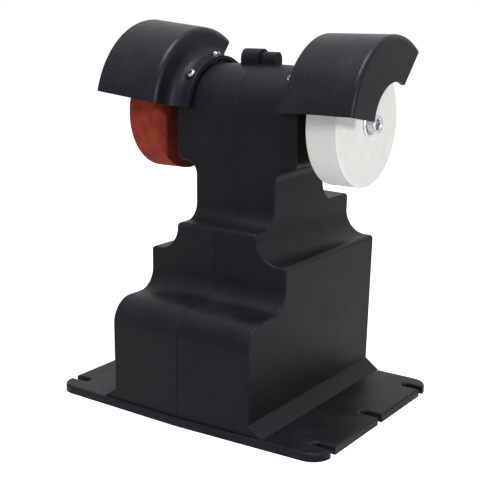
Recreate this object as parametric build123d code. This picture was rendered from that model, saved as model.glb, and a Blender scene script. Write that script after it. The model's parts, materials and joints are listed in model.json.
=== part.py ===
from build123d import *
import math
import os

# Cordless bench grinder, in millimetres.
# The bench is the plane z = 0, and the seam of the two housing halves is the plane x = 0.
# The wheels turn about a level axis along X, above y = 0. The back, with its battery, is +Y.

# Overrun of every cutting body past the face that it cuts
overrun = 1.0

# Housing tower, seen from the side: distances forward and back of the motor axis, and heights
axis_height = 174.7
barrel_radius = 32.3
block_front = 90.2
step_front = 52.0
neck_back = 26.8
block_back = 54.7
back_lean_angle = 2.6
front_ledge_height = 70.4
step_ledge_height = 113.2
rear_ledge_height = 121.4
front_corner_radius = 17.0
front_hollow_radius = 11.0
step_corner_radius = 3.6
step_hollow_radius = 9.0
rear_corner_radius = 4.0
rear_hollow_radius = 12.0
draft_angle = 1.8

# Housing tower, seen from the front: distances from the seam, and heights
block_half_width = 49.7
neck_half_width = 29.0
barrel_half_width = 44.1
block_top_height = 94.9
barrel_underside_drop = 27.1
block_edge_radius = 2.4
shoulder_hollow_radius = 15.0
barrel_hollow_radius = 8.0
barrel_corner_radius = 6.0
flare_width = 9.4
flare_height = 11.5

# Housing walls, ribs and seam screws
wall = 2.6
floor_wall = 3.2
edge_round = 1.2
crossing_angle = 60.0
seam_bevel = 0.4
corner_room_share = 0.98
rib_width = 2.4
rib_depth = 5.0
hoop_rib_shares = (0.75, 0.4)
sleeve_rib_shares = (0.21, 0.76)
sleeve_rib_rise = 6.0
cradle_rib_shares = (0.34, 0.8)
cradle_rib_drop = 9.0
seam_boss_radius = 4.6
seam_boss_inset = 11.2
seam_boss_drop = 14.4
seam_screw_radius = 1.5
seam_screw_reach = 12.0
seam_head_radius = 2.6
seam_head_height = 2.0
seam_head_depth = 10.0
lug_screw_reach = 7.5
drive_slot_width = 0.8
drive_slot_depth = 1.1
drive_slot_share = 0.62
screw_gap = 0.2
thread_gap = 0.02

# Base flange with its open slots
flange_half_width = 97.0
flange_thickness = 5.0
flange_front_lip = 2.0
flange_front_bow = 3.0
flange_setback = 2.7
flange_corner_radius = 11.5
flange_edge_round = 1.4
slot_width = 5.0
slot_depth = 13.0
slot_margin = 0.6

# Screw lugs on top of the barrel
lug_rise = 2.6
left_lug_radius = 6.1
right_lug_radius = 4.4
lug_head_room = 3.0
lug_tip_wall = 3.0

# Guards: angles are measured about the wheel axis, from the back over the top to the front
guard_front_angle = 169.5
right_back_angle = 54.5
left_back_angle = 57.5
guard_back_lean_angle = 8.0
left_front_twist_angle = 6.0
strap_back_angle = 11.0
strap_lift = 1.3
strap_thickness = 2.4
strap_width = 12.1
guard_wall = 2.5
guard_web_gap = 0.4
guard_blend = 7.0
right_hood_room = 11.2
right_hood_flare = 0.2
right_hood_overhang = 16.5
right_hood_rim = 3.0
left_hood_room = 12.8
left_hood_flare = 4.6
left_hood_overhang = 11.0
left_hood_rim = 4.5
sharp_rim = 1.0
crescent_radius = 25.0
seat_gap = 0.1
seat_setback = 2.0
seat_margin_angle = 1.0
guard_screw_angles = (135.0, 90.0, 45.0)
guard_screw_inset = 7.5
guard_screw_recess_gap = 0.4
guard_screw_radius = 1.5
guard_screw_length = 6.5
guard_screw_head_radius = 3.0
guard_screw_head_height = 2.2

# Grinding wheels and what clamps them
wheel_diameter = 75.0
wheel_bore = 10.0
wheel_chamfer = 0.8
white_wheel_width = 20.5
white_wheel_gap = 5.5
red_wheel_width = 23.0
red_wheel_gap = 7.0
collar_radius = 12.0
collar_thickness = 3.0
collar_relief = 0.6
collar_land = 3.0
spigot_share = 0.6
nut_flats = 10.0
nut_height = 6.6
nut_flange_radius = 7.0
nut_flange_thickness = 1.4
nut_chamfer = 0.7
nut_bore_chamfer = 0.6
shaft_end_recess = 0.5
fit_gap = 0.02

# Spindle and motor
shaft_radius = 4.0
shaft_end_radius = 3.0
shaft_end_chamfer = 0.6
bearing_outer_radius = 11.0
bearing_width = 7.0
bearing_ring = 2.1
ball_radius = 1.95
ball_groove_gap = 0.06
ball_count = 7
bearing_end_gap = 0.3
can_radius = 22.5
can_wall = 1.8
bell_depth = 11.2
bell_plate = 3.0
bell_boss_wall = 2.6
bell_window_radius = 3.2
bell_window_count = 4
magnet_thickness = 3.3
magnet_seat_gap = 0.2
magnet_overhang = 3.0
magnet_span_angle = 130.0
air_gap = 0.6
core_middle = 3.0
core_hub_radius = 8.0
pole_count = 8
pole_slot_width = 3.0
pole_slot_mouth = 1.2
pole_tip_thickness = 1.6
winding_overhang = 4.5
winding_clearance = 0.25
commutator_radius = 7.6
commutator_length = 8.0
commutator_gap = 1.0
commutator_end_gap = 2.25
commutator_groove = 0.5
commutator_groove_depth = 0.6
brush_width = 4.0
brush_length = 9.0
brush_gap = 0.06
brush_side_gap = 0.05
brush_holder_wall = 1.4
brush_holder_lift = 1.8
shaft_hole_radius = 9.0

# Battery sleeve, pack and contacts
pack_bottom = 17.0
pack_side_room = 1.25
pack_top_room = 5.4
pack_terminal_room = 9.5
pack_wall = 2.0
pack_gap = 0.4
pack_lid_thickness = 3.0
pack_edge_round = 1.5
pack_setback = 1.3
pack_grip_count = 4
pack_grip_pitch = 4.0
pack_grip_start = 4.0
pack_grip_depth = 0.8
pack_grip_width = 1.6
pack_grip_half_length = 24.0
sleeve_wall = 2.0
cell_radius = 9.15
cell_length = 65.0
cell_gap = 0.3
cell_count = 3
cell_button_radius = 3.0
cell_button_height = 0.8
pack_board_thickness = 1.2
pack_board_half_width = 24.0
pack_board_length = 46.0
terminal_block_depth = 5.0
terminal_block_half_width = 15.0
terminal_block_height = 14.0
blade_count = 3
blade_pitch = 9.0
blade_thickness = 0.8
blade_height = 7.0
blade_length = 8.0
blade_tail = 4.0
clip_thickness = 0.5
clip_gap = 0.35
clip_length = 5.0

# Release button of the battery pack
button_half_width = 10.0
button_pad_height = 5.0
button_pad_thickness = 2.4
button_proud = 1.0
button_travel = 2.0
button_arm_thickness = 2.0
button_arm_length = 14.0
button_tooth_half_width = 6.0
button_tooth_length = 4.0
button_tooth_rise = 1.6
button_gap = 0.4
button_roof_gap = 0.3

# Rocker switch on the back
switch_height = 78.0
switch_half_width = 10.5
switch_half_height = 7.4
switch_depth = 17.0
switch_wall = 1.2
bezel_recess = 0.6
bezel_margin = 1.6
bezel_thickness = 1.5
bezel_round = 0.8
rocker_gap = 0.4
rocker_half_height = 4.8
rocker_pivot_depth = 3.6
rocker_end_rise = 2.0
rocker_middle_rise = 1.2
rocker_foot = 2.6
rocker_swing_angle = 9.0
rocker_pocket_depth = 8.5
rocker_pin_radius = 1.2
rocker_pin_gap = 0.05
rocker_pin_length = 0.8
switch_tab_width = 4.8
switch_tab_thickness = 0.8
switch_tab_length = 7.0
switch_tab_pitch = 6.4

# Controller
board_thickness = 1.6
board_half_depth = 26.0
board_height = 34.0
board_bottom = 56.0
board_middle = 8.0
board_place = 17.0
board_post_radius = 3.0
board_post_inset = 4.0
heat_sink_base = 2.0
heat_sink_fins = 6
heat_sink_fin = 1.2
heat_sink_rise = 9.0
heat_sink_half_depth = 14.0
heat_sink_height = 22.0
capacitor_radius = 5.0
capacitor_length = 12.0


def back_face_at(height):
    """How far back the leaning rear face of the housing lies at a height."""
    return block_back + height * math.tan(math.radians(back_lean_angle))


# Places on the housing that several pieces share
wheel_axis = Axis((0, 0, axis_height), (1, 0, 0))
tower_top = axis_height + barrel_radius
lug_height = tower_top + lug_rise
left_lug_length = seam_head_depth + lug_head_room
right_lug_length = lug_screw_reach + lug_tip_wall
flare_half_width = block_half_width + flare_width
flange_front = block_front + flange_front_lip
flange_front_corner = flange_front - flange_front_bow
flange_back = block_back - flange_setback
slot_middle = (flange_back - flange_front_corner) / 2
slot_spacing = (flange_back + flange_front_corner) / 2 - flange_corner_radius - slot_width / 2 - slot_margin

# Places on the guards and wheels
wheel_radius = wheel_diameter / 2
strap_inside = barrel_radius + strap_lift
strap_radius = strap_inside + strap_thickness
strap_inner_reach = barrel_half_width - strap_width
guard_screw_place = barrel_half_width - guard_screw_inset
web_face = barrel_half_width + guard_web_gap
web_back = web_face + guard_wall
white_wheel_inner = web_back + white_wheel_gap
white_wheel_outer = white_wheel_inner + white_wheel_width
red_wheel_inner = web_back + red_wheel_gap
red_wheel_outer = red_wheel_inner + red_wheel_width
smallest_hood_radius = wheel_radius + guard_wall
right_hood_radius = smallest_hood_radius + right_hood_room
right_hood_reach = white_wheel_outer + right_hood_overhang
left_hood_radius = smallest_hood_radius + left_hood_room
left_hood_reach = red_wheel_outer + left_hood_overhang

# Places in the motor
bearing_reach = barrel_half_width - wall - bearing_end_gap
ball_pitch_radius = (bearing_outer_radius + shaft_radius) / 2
can_half_length = bearing_reach - bell_depth
core_radius = can_radius - can_wall - magnet_seat_gap - magnet_thickness - air_gap
winding_reach = winding_clearance + winding_overhang
commutator_reach = winding_reach + commutator_gap + commutator_length + commutator_end_gap
core_half_length = can_half_length + core_middle - commutator_reach

# Places in the battery, its sleeve and the controller
pack_half_width = cell_radius * cell_count + cell_gap * (cell_count - 1) / 2 + pack_side_room + pack_wall
pack_height = cell_radius * 2 + cell_gap + pack_top_room + pack_wall * 2
pack_top = pack_bottom + pack_height
pack_middle = pack_bottom + pack_wall + cell_gap + cell_radius
cell_back = back_face_at(pack_bottom) - pack_setback - pack_wall - cell_gap
cell_front = cell_back - cell_length
pack_front = cell_button_height + pack_terminal_room + pack_lid_thickness - cell_front
sleeve_bottom = pack_bottom - pack_gap - sleeve_wall
sleeve_top = pack_top + pack_gap + sleeve_wall
sleeve_half_width = pack_half_width + pack_gap + sleeve_wall
sleeve_front = pack_front + pack_gap + terminal_block_depth
button_top = pack_top - pack_wall - button_roof_gap
board_top = board_bottom + board_height

# Places of the seam screws, forward and back of the motor axis and up
seam_boss_places = (
    (seam_boss_inset - block_front, seam_boss_inset),
    (seam_boss_inset - block_front, front_ledge_height - seam_boss_drop),
    (seam_boss_inset - step_front, step_ledge_height - seam_boss_inset),
    (block_back - seam_boss_inset, (floor_wall + sleeve_bottom) / 2),
    (back_face_at(rear_ledge_height) - seam_boss_inset, rear_ledge_height - seam_boss_inset),
    (neck_back - seam_boss_inset, (rear_ledge_height + axis_height - can_radius) / 2),
)


def block_between(x_from, x_to, y_from, y_to, z_from, z_to):
    """A plain block between two opposite corners."""
    middle = Pos((x_from + x_to) / 2, (y_from + y_to) / 2, (z_from + z_to) / 2)
    return middle * Box(x_to - x_from, y_to - y_from, z_to - z_from)


def x_rod(x_from, x_to, y, z, radius):
    """A round bar along X."""
    return Pos((x_from + x_to) / 2, y, z) * Rot(0, 90, 0) * Cylinder(radius, x_to - x_from)


def y_rod(y_from, y_to, x, z, radius):
    """A round bar along Y."""
    return Pos(x, (y_from + y_to) / 2, z) * Rot(90, 0, 0) * Cylinder(radius, y_to - y_from)


def axle_rod(x_from, x_to, radius):
    """A round bar on the wheel axis."""
    return x_rod(x_from, x_to, 0, axis_height, radius)


def about_axle(shape, angle):
    """A shape turned about the wheel axis."""
    return shape.rotate(wheel_axis, angle)


def rounded_face(corners):
    """A flat face through (across, up, radius) corners, each rounded as far as it has room."""
    count = len(corners)
    points = [Vector(across, up, 0) for across, up, radius in corners]
    half_angles = []
    reaches = []
    for i, (across, up, radius) in enumerate(corners):
        before = points[i - 1] - points[i]
        after = points[(i + 1) % count] - points[i]
        half_angles.append(math.radians(before.get_angle(after)) / 2)
        reaches.append(radius / math.tan(half_angles[i]))
    for i in range(count):
        room = (points[i] - points[i - 1]).length * corner_room_share
        fit = min(1, room / max(reaches[i - 1] + reaches[i], room))
        reaches[i - 1] *= fit
        reaches[i] *= fit
    starts = []
    stops = []
    edges = []
    for i in range(count):
        before = (points[i - 1] - points[i]).normalized()
        after = (points[(i + 1) % count] - points[i]).normalized()
        start = points[i] + before * reaches[i]
        stop = points[i] + after * reaches[i]
        starts.append(start)
        stops.append(stop)
        if reaches[i] > 0:
            radius = reaches[i] * math.tan(half_angles[i])
            inward = (before + after).normalized()
            middle = points[i] + inward * (radius / math.sin(half_angles[i]) - radius)
            edges.append(ThreePointArc(start, middle, stop))
    for i in range(count):
        edges.append(Line(stops[i - 1], starts[i]))
    return make_face(edges)


def side_outline(inset):
    """The stepped tower from the side, drawn across Y and up Z, moved inward by the inset."""
    front = block_front - inset
    step = step_front - inset
    neck = barrel_radius - inset
    rear = neck_back - inset
    ledge = front_ledge_height - inset
    step_ledge = step_ledge_height - inset
    rear_ledge = rear_ledge_height - inset
    outside = [
        (-front, 0, 0),
        (-front, ledge, max(front_corner_radius - inset, 0)),
        (-step, ledge, front_hollow_radius + inset),
        (-step, step_ledge, max(step_corner_radius - inset, 0)),
        (-neck, step_ledge, step_hollow_radius + inset),
        (-neck, axis_height, 0),
        (rear, axis_height, 0),
        (rear, rear_ledge, rear_hollow_radius + inset),
        (back_face_at(rear_ledge) - inset, rear_ledge, max(rear_corner_radius - inset, 0)),
        (back_face_at(0) - inset, 0, 0),
    ]
    barrel = Pos(0, axis_height) * Circle(neck)
    return rounded_face(outside) + barrel


def front_outline(inset):
    """Half the tower from the front, drawn across X and up Z, moved inward by the inset."""
    block = block_half_width - inset
    neck = neck_half_width - inset
    barrel = barrel_half_width - inset
    shoulder = block_top_height - inset
    underside = axis_height - barrel_underside_drop + inset
    upper = [
        (block, shoulder, max(block_edge_radius - inset, 0)),
        (neck, shoulder, shoulder_hollow_radius + inset),
        (neck, underside, barrel_hollow_radius + inset),
        (barrel, underside, max(barrel_corner_radius - inset, 0)),
        (barrel, tower_top, 0),
        (0, tower_top, 0),
    ]
    if inset > 0:
        foot = [(0, 0, 0), (block, 0, 0)]
    else:
        flare = flare_half_width
        foot = [(0, 0, 0), (flare, 0, 0), (flare, flange_thickness, 0), (block, flare_height, 0)]
    return rounded_face(foot + upper)


def tower_half(inset):
    """The right half of the tower as one solid, drafted away from the seam."""
    from_side = extrude(Plane.YZ * side_outline(inset), amount=flare_half_width, taper=draft_angle)
    reach = block_front + block_back
    from_front = extrude(Plane.XZ * front_outline(inset), amount=reach, both=True)
    return from_side & from_front


def edges_at_seam(shape):
    """The edges of a half that lie in the plane of the seam."""
    return shape.edges().filter_by_position(Axis.X, -fit_gap, fit_gap)


def crossing_edges(shape):
    """The edges off the bench and the seam where two faces meet at nearly a right angle."""
    sides = [(face, face.edges()) for face in shape.faces()]
    chosen = []
    for edge in shape.edges().filter_by_position(Axis.Z, fit_gap, tower_top) - edges_at_seam(shape):
        middle = edge @ 0.5
        normals = [face.normal_at(middle) for face, near in sides if any(edge.is_same(one) for one in near)]
        if normals[0].get_angle(normals[-1]) > crossing_angle:
            chosen.append(edge)
    return chosen


def flange_half():
    """The right half of the base flange, with three slots open at its outer edge."""
    outline = rounded_face([
        (0, -flange_front, 0),
        (flange_half_width, -flange_front_corner, flange_corner_radius),
        (flange_half_width, flange_back, flange_corner_radius),
        (0, flange_back, 0),
    ])
    mouth = flange_half_width + overrun
    for place in (-slot_spacing, 0, slot_spacing):
        slot_end = flange_half_width - slot_depth + slot_width / 2
        middle = slot_middle + place
        outline -= Pos((slot_end + mouth) / 2, middle) * Rectangle(mouth - slot_end, slot_width)
        outline -= Pos(slot_end, middle) * Circle(slot_width / 2)
    plate = extrude(outline, amount=flange_thickness)
    upper_edges = plate.faces().sort_by(Axis.Z)[-1].outer_wire().edges()
    return fillet(upper_edges - edges_at_seam(plate), flange_edge_round)


def lug_half(radius, length):
    """A screw lug lying along the seam on top of the barrel, to the right of the seam."""
    foot = block_between(0, length, -radius, radius, tower_top - wall, lug_height)
    return x_rod(0, length, 0, lug_height, radius) + foot


def sector(section, from_angle, to_angle):
    """A section drawn above the wheel axis, swept about that axis between two angles."""
    standing = Pos(0, 0, axis_height) * (Plane.XZ * section)
    return revolve(about_axle(standing, from_angle - 90), wheel_axis, revolution_arc=to_angle - from_angle)


def ring_section(x_from, x_to, inner, outer):
    """A rectangular ring section, drawn across X and outward from the wheel axis."""
    return Pos((x_from + x_to) / 2, (inner + outer) / 2) * Rectangle(x_to - x_from, outer - inner)


def guard_seat():
    """The raised pad on the right end of the barrel that a guard strap sits on."""
    start = strap_inner_reach + seat_setback
    section = ring_section(start, barrel_half_width, barrel_radius - wall, strap_inside - seat_gap)
    return sector(section, strap_back_angle - seat_margin_angle, guard_front_angle + seat_margin_angle)


def radial_rods(place, inner, outer, radius):
    """Three round bars that point at the wheel axis where the guard screws are."""
    bars = []
    for angle in guard_screw_angles:
        bar = Pos(place, 0, axis_height + (inner + outer) / 2) * Cylinder(radius, outer - inner)
        bars.append(about_axle(bar, angle - 90))
    return bars


def rib_slab(place, bottom, top):
    """A thin upright slab across the right half, which the cavity trims to a rib."""
    return block_between(0, block_half_width, place - rib_width / 2, place + rib_width / 2, bottom, top)


def hoop_ribs(cavity):
    """Shallow ribs across the inside of the front of the block."""
    core = tower_half(wall + rib_depth)
    places = [-block_front * share for share in hoop_rib_shares]
    return [(cavity & rib_slab(place, 0, block_top_height)) - core for place in places]


def sleeve_box(y_to):
    """The outside of the battery sleeve as a plain block, reaching back to a given place."""
    return block_between(
        -sleeve_half_width, sleeve_half_width, -sleeve_front - sleeve_wall, y_to, sleeve_bottom, sleeve_top
    )


def sleeve_ribs(cavity):
    """Ribs that carry the battery sleeve, cut out to its outside."""
    top = sleeve_top + sleeve_rib_rise
    places = [share * (block_back + sleeve_front) - sleeve_front for share in sleeve_rib_shares]
    return [(cavity & rib_slab(place, 0, top)) - sleeve_box(block_back) for place in places]


def cradle_ribs(cavity):
    """Ribs round the motor can, which hold it in the barrel."""
    lowest = axis_height - can_radius - cradle_rib_drop
    ribs = []
    for share in cradle_rib_shares:
        place = can_half_length * share
        slab = block_between(
            place - rib_width / 2, place + rib_width / 2, -barrel_radius, barrel_radius, lowest, tower_top
        )
        ribs.append((cavity & slab) - axle_rod(0, barrel_half_width, can_radius))
    return ribs


def rear_plane(height, setback):
    """The leaning rear face at a height, with its Y up the face and its Z out of the object."""
    lean = math.radians(back_lean_angle)
    return Plane(
        origin=(0, back_face_at(height) - setback, height),
        x_dir=(-1, 0, 0),
        z_dir=(0, math.cos(lean), -math.sin(lean)),
    )


def behind_rear_plane(setback):
    """Everything behind the leaning rear face, moved forward by the setback."""
    depth = block_back
    waste = Box(flange_half_width * 2, tower_top * 2, depth)
    return rear_plane(axis_height / 2, setback) * Pos(0, 0, depth / 2) * waste


def common_half():
    """What both housing halves share, built on the right of the seam."""
    outside = tower_half(0)
    outside = fillet(crossing_edges(outside), edge_round)
    outside = chamfer(edges_at_seam(outside).filter_by_position(Axis.Z, fit_gap, tower_top), seam_bevel)
    floor = block_between(0, block_half_width, -block_front, block_back * 2, 0, floor_wall)
    cavity = tower_half(wall) - floor
    half = outside - cavity + flange_half()
    for rib in hoop_ribs(cavity) + sleeve_ribs(cavity) + cradle_ribs(cavity):
        half += rib
    for y, z in seam_boss_places:
        half += x_rod(0, block_half_width, y, z, seam_boss_radius) & outside
    half += guard_seat()
    half -= axle_rod(barrel_half_width - wall - overrun, barrel_half_width + overrun, shaft_hole_radius)
    half -= sleeve_box(back_face_at(sleeve_top) + overrun)
    back = rear_plane(switch_height, bezel_recess)
    half -= back * Pos(0, 0, -wall) * Box(switch_half_width * 2, switch_half_height * 2, wall * 2)
    bezel_width = (switch_half_width + bezel_margin + rocker_gap) * 2
    bezel_height = (switch_half_height + bezel_margin + rocker_gap) * 2
    half -= back * Pos(0, 0, bezel_recess) * Box(bezel_width, bezel_height, bezel_recess * 2)
    pilot_foot = strap_radius - guard_screw_length - overrun
    for hole in radial_rods(guard_screw_place, pilot_foot, strap_radius, guard_screw_radius + thread_gap):
        half -= hole
    return half


def board_posts():
    """Posts from the right wall that the controller board is fixed to."""
    start = board_place + board_thickness
    stop = block_half_width - wall / 2
    reach = board_half_depth - board_post_inset
    posts = []
    for y in (board_middle - reach, board_middle + reach):
        for z in (board_bottom + board_post_inset, board_top - board_post_inset):
            posts.append(x_rod(start, stop, y, z, board_post_radius))
    return posts


def make_right_shell(half):
    """The right housing half, whose bosses have blind pilot holes."""
    shell = half + lug_half(right_lug_radius, right_lug_length)
    for post in board_posts():
        shell += post
    for y, z in seam_boss_places:
        shell -= x_rod(-overrun, seam_screw_reach + overrun, y, z, seam_screw_radius + thread_gap)
    shell -= x_rod(-overrun, lug_screw_reach + overrun, 0, lug_height, seam_screw_radius + thread_gap)
    return shell


def make_left_shell(half):
    """The left housing half, whose bosses have stepped holes for the seam screws."""
    lug = lug_half(left_lug_radius, left_lug_length)
    shell = mirror(half, about=Plane.YZ) + mirror(lug, about=Plane.YZ)
    hole = seam_screw_radius + screw_gap
    head_hole = seam_head_radius + screw_gap
    for y, z in seam_boss_places + ((0, lug_height),):
        shell -= x_rod(-seam_head_depth - overrun, overrun, y, z, hole)
        shell -= x_rod(-block_half_width - overrun, -seam_head_depth, y, z, head_hole)
    return shell


def screw(shank_radius, length, head_radius, head_height):
    """A pan-head screw with a cross recess, its head above z = 0 and its shank below."""
    head = Pos(0, 0, head_height / 2) * Cylinder(head_radius, head_height)
    head = fillet(head.edges().sort_by(Axis.Z)[-1], head_height / 2)
    slot_length = head_radius * 2 * drive_slot_share
    slot_place = Pos(0, 0, head_height)
    head -= slot_place * Box(slot_length, drive_slot_width, drive_slot_depth * 2)
    head -= slot_place * Box(drive_slot_width, slot_length, drive_slot_depth * 2)
    return head + Pos(0, 0, -length / 2) * Cylinder(shank_radius, length)


def make_shell_screws():
    """The screws along X that draw the two halves together, with their heads on the left."""
    screws = []
    for y, z in seam_boss_places:
        length = seam_head_depth + seam_screw_reach
        one = screw(seam_screw_radius, length, seam_head_radius, seam_head_height)
        screws.append(Pos(-seam_head_depth, y, z) * Rot(0, -90, 0) * one)
    top = screw(seam_screw_radius, seam_head_depth + lug_screw_reach, seam_head_radius, seam_head_height)
    screws.append(Pos(-seam_head_depth, 0, lug_height) * Rot(0, -90, 0) * top)
    return Compound(children=screws)


def make_guard(hood_radius, flare, reach, inner_rim, outer_rim, back_angle, twist_angle):
    """A right-hand wheel guard: strap, web, hood and crescent-shaped outer plate, as one moulding."""
    inner_wall = max(inner_rim - guard_wall, sharp_rim)
    outer_wall = max(outer_rim - guard_wall, sharp_rim)
    end_radius = hood_radius + flare
    section = rounded_face([
        (strap_inner_reach, strap_inside, 0),
        (strap_inner_reach, strap_radius, 0),
        (web_face, strap_radius, guard_blend),
        (web_face, hood_radius, inner_rim),
        (reach, end_radius, outer_rim),
        (reach, crescent_radius, 0),
        (reach - guard_wall, crescent_radius, 0),
        (reach - guard_wall, end_radius - guard_wall, outer_wall),
        (web_back, hood_radius - guard_wall, inner_wall),
        (web_back, strap_inside, 0),
    ])
    hood = sector(section, back_angle, guard_front_angle)
    hood_axis = Axis((0, 0, axis_height + hood_radius), (1, 0, 0))
    behind = block_between(0, reach + overrun, 0, hood_radius, axis_height, axis_height + hood_radius)
    hood -= about_axle(behind.rotate(hood_axis, -guard_back_lean_angle), back_angle - 90)
    if twist_angle > 0:
        twist_axis = Axis((web_face, 0, 0), (0, 0, 1))
        past_end = block_between(
            web_face, reach * 2, -hood_radius, 0, axis_height, axis_height + hood_radius * 2
        )
        hood -= about_axle(past_end.rotate(twist_axis, twist_angle), guard_front_angle - 90)
    strap = ring_section(strap_inner_reach, web_back, strap_inside, strap_radius)
    guard = hood + sector(strap, strap_back_angle, guard_front_angle)
    for hole in radial_rods(guard_screw_place, strap_inside - overrun, strap_radius + overrun,
                            guard_screw_radius + screw_gap):
        guard -= hole
    for recess in radial_rods(guard_screw_place, strap_radius, strap_radius + guard_blend,
                              guard_screw_head_radius + guard_screw_recess_gap):
        guard -= recess
    return guard


def make_guard_screws():
    """The three radial screws of the right guard's strap."""
    one = screw(guard_screw_radius, guard_screw_length, guard_screw_head_radius, guard_screw_head_height)
    raised = Pos(guard_screw_place, 0, axis_height + strap_radius) * one
    return Compound(children=[about_axle(raised, angle - 90) for angle in guard_screw_angles])


def make_wheel(inner, outer):
    """A straight grinding wheel with a plain bore and broken edges."""
    disc = chamfer(axle_rod(inner, outer, wheel_radius).edges(), wheel_chamfer)
    return disc - axle_rod(inner - overrun, outer + overrun, wheel_bore / 2)


def make_wheel_collar(face, width):
    """The inner clamping collar of the right wheel: a relieved disc with a spigot that centres the bore."""
    spigot = wheel_bore / 2 - fit_gap
    collar = axle_rod(face - collar_thickness, face, collar_radius)
    relief = axle_rod(face - collar_relief, face + overrun, collar_radius - collar_land)
    collar = collar - relief + axle_rod(face - collar_thickness, face + width * spigot_share, spigot)
    return collar - axle_rod(face - collar_thickness - overrun, face + width, shaft_end_radius + fit_gap)


def make_wheel_nut(face):
    """A hexagon nut with a pressed flange, clamping the right wheel."""
    outer = face + nut_height
    corner = nut_flats / math.sqrt(3)
    hexagon = Plane.YZ * RegularPolygon(nut_flats / 2, 6, major_radius=False)
    body = Pos(face, 0, axis_height) * extrude(hexagon, amount=nut_height)
    turned = axle_rod(face - overrun, outer, corner)
    turned = chamfer(turned.edges().sort_by(Axis.X)[-1], nut_chamfer)
    rim = axle_rod(face, face + nut_flange_thickness, nut_flange_radius)
    rim = chamfer(rim.edges().sort_by(Axis.X)[-1], nut_flange_thickness / 2)
    nut = (body & turned) + rim - axle_rod(face - overrun, outer + overrun, shaft_end_radius + fit_gap)
    outer_circles = nut.edges().filter_by(GeomType.CIRCLE).group_by(Axis.X)[-1]
    return chamfer(outer_circles.sort_by(SortBy.RADIUS)[0], nut_bore_chamfer)


def make_spindle_shaft():
    """The motor shaft, reduced at both ends for the wheels."""
    right_shoulder = white_wheel_inner - collar_thickness
    left_shoulder = red_wheel_inner - collar_thickness
    right_end = white_wheel_outer + nut_height - shaft_end_recess
    left_end = red_wheel_outer + nut_height - shaft_end_recess
    ends = chamfer(axle_rod(-left_end, right_end, shaft_end_radius).edges(), shaft_end_chamfer)
    return ends + axle_rod(-left_shoulder, right_shoulder, shaft_radius)


def race_groove(middle):
    """The groove that the balls of a bearing run in."""
    ring = Torus(ball_pitch_radius, ball_radius + ball_groove_gap)
    return Pos(middle, 0, axis_height) * Rot(0, 90, 0) * ring


def make_outer_ring(middle):
    """The outer ring of a ball bearing."""
    half = bearing_width / 2
    ring = axle_rod(middle - half, middle + half, bearing_outer_radius)
    ring -= axle_rod(middle - half - overrun, middle + half + overrun, bearing_outer_radius - bearing_ring)
    return ring - race_groove(middle)


def make_inner_ring(middle):
    """The inner ring of a ball bearing."""
    half = bearing_width / 2
    ring = axle_rod(middle - half, middle + half, shaft_radius + bearing_ring)
    ring -= axle_rod(middle - half - overrun, middle + half + overrun, shaft_radius + fit_gap / 2)
    return ring - race_groove(middle)


def make_balls(middle):
    """The balls of a bearing, spread evenly about the shaft."""
    ball = Pos(middle, 0, axis_height + ball_pitch_radius) * Sphere(ball_radius)
    return [about_axle(ball, 360 * i / ball_count) for i in range(ball_count)]


def make_motor_can():
    """The drawn steel can of the motor."""
    return axle_rod(-can_half_length, can_half_length, can_radius) - axle_rod(
        -can_half_length - overrun, can_half_length + overrun, can_radius - can_wall
    )


def make_end_bell():
    """The right end bell of the motor, with its bearing seat and vent windows."""
    plate_end = can_half_length + bell_plate
    seat = bearing_outer_radius + fit_gap
    bell = axle_rod(can_half_length, plate_end, can_radius)
    bell += axle_rod(can_half_length, bearing_reach, seat + bell_boss_wall)
    bell -= axle_rod(bearing_reach - bearing_width, bearing_reach + overrun, seat)
    bell -= axle_rod(can_half_length - overrun, bearing_reach, shaft_radius + bearing_ring + fit_gap)
    window_height = axis_height + (seat + bell_boss_wall + can_radius) / 2
    window = x_rod(can_half_length - overrun, plate_end + overrun, 0, window_height, bell_window_radius)
    for i in range(bell_window_count):
        bell -= about_axle(window, 360 * (i + 1 / 2) / bell_window_count)
    return bell


def make_magnets():
    """The two curved field magnets glued inside the can, one in front and one behind."""
    outer = can_radius - can_wall - magnet_seat_gap
    half = core_half_length + magnet_overhang
    section = ring_section(core_middle - half, core_middle + half, outer - magnet_thickness, outer)
    half_span = magnet_span_angle / 2
    arcs = [sector(section, middle - half_span, middle + half_span) for middle in (0, 180)]
    return Compound(children=arcs)


def pole_slots(width, mouth, root, neck):
    """The winding slots of the armature, drawn on end: a wide slot with a narrower mouth."""
    shapes = []
    for i in range(pole_count):
        slot = Pos((root + neck) / 2, 0) * Rectangle(neck - root, width)
        if mouth > 0:
            slot += Pos((neck + core_radius) / 2, 0) * Rectangle(core_radius + overrun - neck, mouth)
        shapes.append(Rot(0, 0, 360 * i / pole_count) * slot)
    return shapes


def make_armature_core():
    """The laminated armature core with its winding slots."""
    outline = Circle(core_radius) - Circle(shaft_radius + fit_gap)
    neck = core_radius - pole_tip_thickness
    for slot in pole_slots(pole_slot_width, pole_slot_mouth, core_hub_radius, neck):
        outline -= slot
    start = Pos(core_middle - core_half_length, 0, axis_height)
    return start * extrude(Plane.YZ * outline, amount=core_half_length * 2)


def make_armature_windings():
    """The copper windings: bars in the slots, joined by a wound ring at each end."""
    root = core_hub_radius + winding_clearance
    neck = core_radius - pole_tip_thickness - winding_clearance
    width = pole_slot_width - winding_clearance * 2
    length = (core_half_length + winding_clearance) * 2 + winding_overhang
    middle = core_middle - length / 2
    outline = Sketch() + pole_slots(width, 0, root, neck)
    windings = Pos(middle, 0, axis_height) * extrude(Plane.YZ * outline, amount=length)
    for start in (
        core_middle - core_half_length - winding_reach,
        core_middle + core_half_length + winding_clearance,
    ):
        ring = axle_rod(start, start + winding_overhang, neck)
        windings += ring - axle_rod(start - overrun, start + winding_overhang + overrun, root)
    return windings


def commutator_end():
    """How far left of the seam the commutator starts."""
    return core_half_length + winding_reach + commutator_gap - core_middle


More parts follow.
